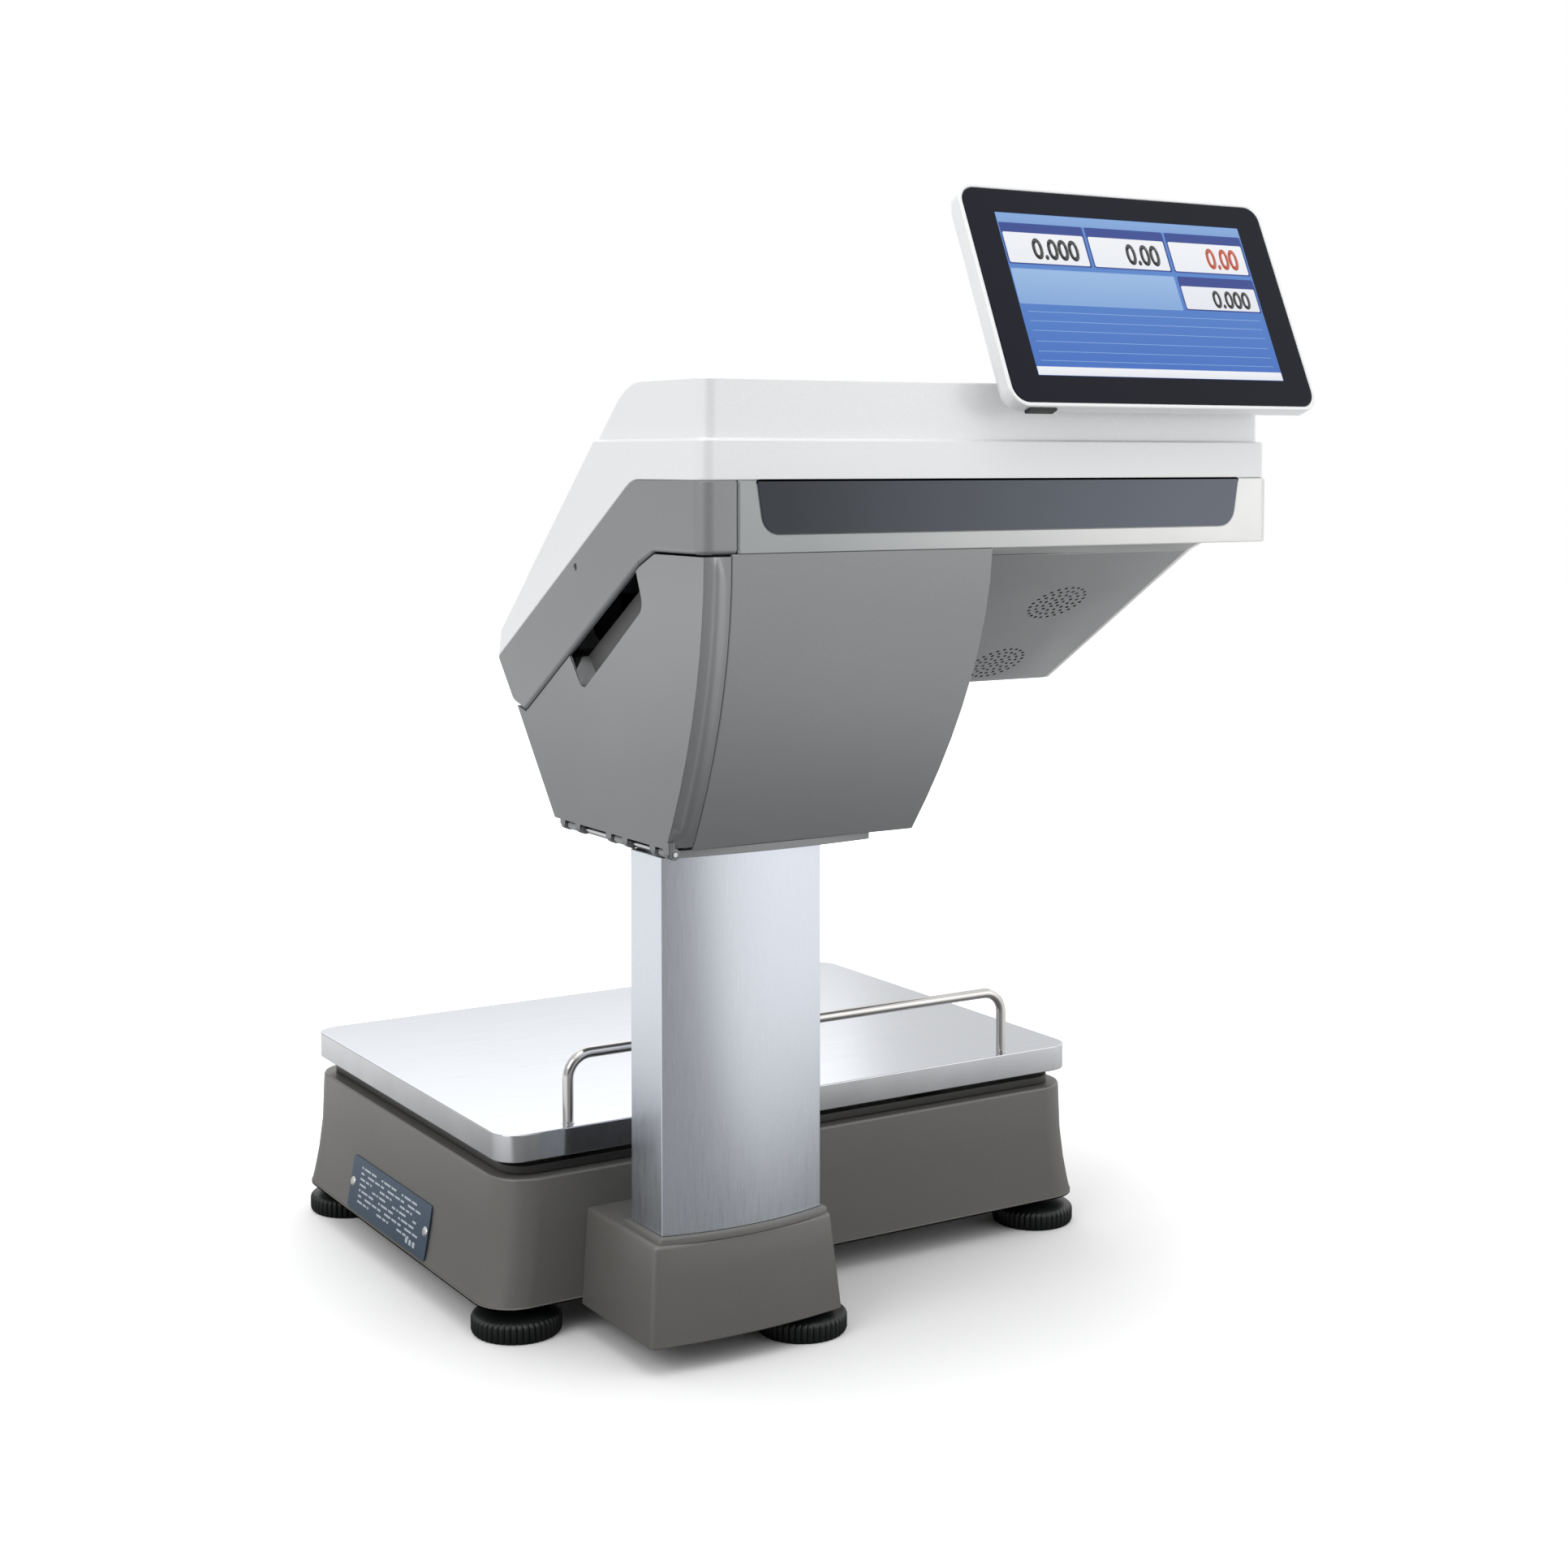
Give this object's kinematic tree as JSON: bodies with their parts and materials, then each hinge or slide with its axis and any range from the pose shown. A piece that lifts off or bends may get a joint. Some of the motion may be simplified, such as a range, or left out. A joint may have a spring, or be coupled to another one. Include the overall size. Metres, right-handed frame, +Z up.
{
  "type": "retail price scale",
  "caption": "Counter price scale with a steel platter and guard rail, a column, a label printer head with side door, an operator touchscreen and a tilting customer display.",
  "frame": {"origin": "on the counter, under the centre of the whole object", "axes": "+Z up, the operator stands at -Y and the customer at +Y, the label printer is on the +X side"},
  "size_m": [0.443, 0.4319, 0.6124],
  "materials": {
    "base_paint": "fine satin texture",
    "deck_black": "matte",
    "cast_plate": "as cast, painted",
    "cell_aluminium": "machined",
    "bolt_steel": "blackened",
    "rubber_black": "matte",
    "vial": "clear green",
    "plate_foil": "printed satin foil",
    "rivet_steel": "polished",
    "circuit_board": "solder mask",
    "supply_case": "zinc plated",
    "black_plastic": "fine texture",
    "platter_steel": "satin top, polished skirt",
    "rail_steel": "polished stainless",
    "foot_plastic": "moulded",
    "stud_steel": "zinc plated",
    "column_aluminium": "brushed, anodised",
    "housing_grey": "satin metallic grey",
    "chassis_steel": "zinc plated",
    "cover_white": "satin white",
    "frame_silver": "silver grey",
    "strip_gloss": "polished",
    "screen_glass": "black border behind clear glass",
    "screen_panel": "lit screen",
    "label_paper": "matte",
    "spool_black": "moulded",
    "roller_rubber": "ground",
    "head_module": "moulded",
    "lever_blue": "moulded"
  },
  "bodies": {
    "base": {"base_housing": "base_paint", "base_deck": "deck_black", "base_plate": "cast_plate", "load_cell": "cell_aluminium", "load_cell_blocks": "cell_aluminium", "load_cell_bolts": "bolt_steel", "platter_carrier": "cast_plate", "platter_pads": "rubber_black", "bubble_level": "vial", "rating_plate": "plate_foil", "rating_rivets": "rivet_steel", "weighing_board": "circuit_board", "power_supply": "supply_case", "power_inlet": "black_plastic", "column_foot": "base_paint", "column": "column_aluminium", "column_bolts": "bolt_steel", "column_harness": "rubber_black", "housing_floor": "housing_grey", "printer_chassis": "chassis_steel", "printer_housing": "housing_grey", "door_hinge_pin": "stud_steel", "roll_spindle": "chassis_steel", "side_band": "housing_grey", "band_screws": "bolt_steel", "console_frame": "frame_silver", "front_strip": "strip_gloss", "console_underside": "housing_grey", "speakers": "spool_black", "main_board": "circuit_board", "head_cover": "cover_white", "touch_glass": "screen_glass", "touch_panel": "screen_panel", "display_bracket": "black_plastic", "display_pin": "stud_steel"},
    "platter": {"platter": "platter_steel", "guard_rail": "rail_steel", "rail_nuts": "stud_steel"},
    "foot_1": {"foot_wheel_1": "foot_plastic", "foot_stud_1": "stud_steel"},
    "foot_2": {"foot_wheel_2": "foot_plastic", "foot_stud_2": "stud_steel"},
    "foot_3": {"foot_wheel_3": "foot_plastic", "foot_stud_3": "stud_steel"},
    "foot_4": {"foot_wheel_4": "foot_plastic", "foot_stud_4": "stud_steel"},
    "foot_5": {"foot_wheel_5": "foot_plastic", "foot_stud_5": "stud_steel"},
    "door": {"printer_door": "housing_grey"},
    "rocker": {"power_switch": "black_plastic"},
    "roll": {"label_roll": "label_paper"},
    "takeup": {"takeup_spool": "spool_black"},
    "platen": {"platen_roller": "roller_rubber"},
    "thermal_head": {"print_head": "head_module"},
    "lever": {"head_lever": "lever_blue"},
    "display": {"display_shell": "cover_white", "display_glass": "screen_glass", "display_panel": "screen_panel", "display_port_cover": "black_plastic"}
  },
  "joints": [
    {"name": "platter_lift", "type": "slide", "parent": "base", "child": "platter", "axis": [0, 0, 1], "range_m": [0, 0.05]},
    {"name": "door_hinge", "type": "hinge", "parent": "base", "child": "door", "pos_m": [0.1575, 0.0945, 0.2685], "axis": [0, 1, 0], "range_deg": [0, 92]},
    {"name": "display_tilt", "type": "hinge", "parent": "base", "child": "display", "pos_m": [-0.1145, 0.17144, 0.53948], "axis": [1, 0, 0], "range_deg": [-4, 20]},
    {"name": "roll_spin", "type": "hinge", "parent": "base", "child": "roll", "pos_m": [0.107, 0.1115, 0.352], "axis": [1, 0, 0], "continuous": true},
    {"name": "takeup_spin", "type": "hinge", "parent": "base", "child": "takeup", "pos_m": [0.1, 0.0375, 0.384], "axis": [1, 0, 0], "continuous": true},
    {"name": "platen_spin", "type": "hinge", "parent": "base", "child": "platen", "pos_m": [0.102, 0.0175, 0.314], "axis": [1, 0, 0], "continuous": true},
    {"name": "lever_turn", "type": "hinge", "parent": "base", "child": "lever", "pos_m": [0.075, 0.0255, 0.346], "axis": [1, 0, 0], "range_deg": [0, 30]},
    {"name": "head_lift", "type": "hinge", "parent": "base", "child": "thermal_head", "pos_m": [0.103, 0.0255, 0.346], "axis": [1, 0, 0], "range_deg": [-9, 0]},
    {"name": "rocker_tip", "type": "hinge", "parent": "base", "child": "rocker", "pos_m": [-0.1592, -0.1225, 0.052], "axis": [0, 0, 1], "range_deg": [0, 12]},
    {"name": "foot_1_level", "type": "slide", "parent": "base", "child": "foot_1", "axis": [0, 0, -1], "range_m": [-0.0008, 0.006]},
    {"name": "foot_2_level", "type": "slide", "parent": "base", "child": "foot_2", "axis": [0, 0, -1], "range_m": [-0.0008, 0.006]},
    {"name": "foot_3_level", "type": "slide", "parent": "base", "child": "foot_3", "axis": [0, 0, -1], "range_m": [-0.0008, 0.006]},
    {"name": "foot_4_level", "type": "slide", "parent": "base", "child": "foot_4", "axis": [0, 0, -1], "range_m": [-0.0008, 0.006]},
    {"name": "foot_5_level", "type": "slide", "parent": "base", "child": "foot_5", "axis": [0, 0, -1], "range_m": [-0.0008, 0.006]}
  ],
  "couplings": [
    {"joint": "platen_spin", "follows": "roll_spin", "ratio": 6.857},
    {"joint": "takeup_spin", "follows": "roll_spin", "ratio": 5.333},
    {"joint": "head_lift", "follows": "lever_turn", "ratio": -0.3}
  ]
}
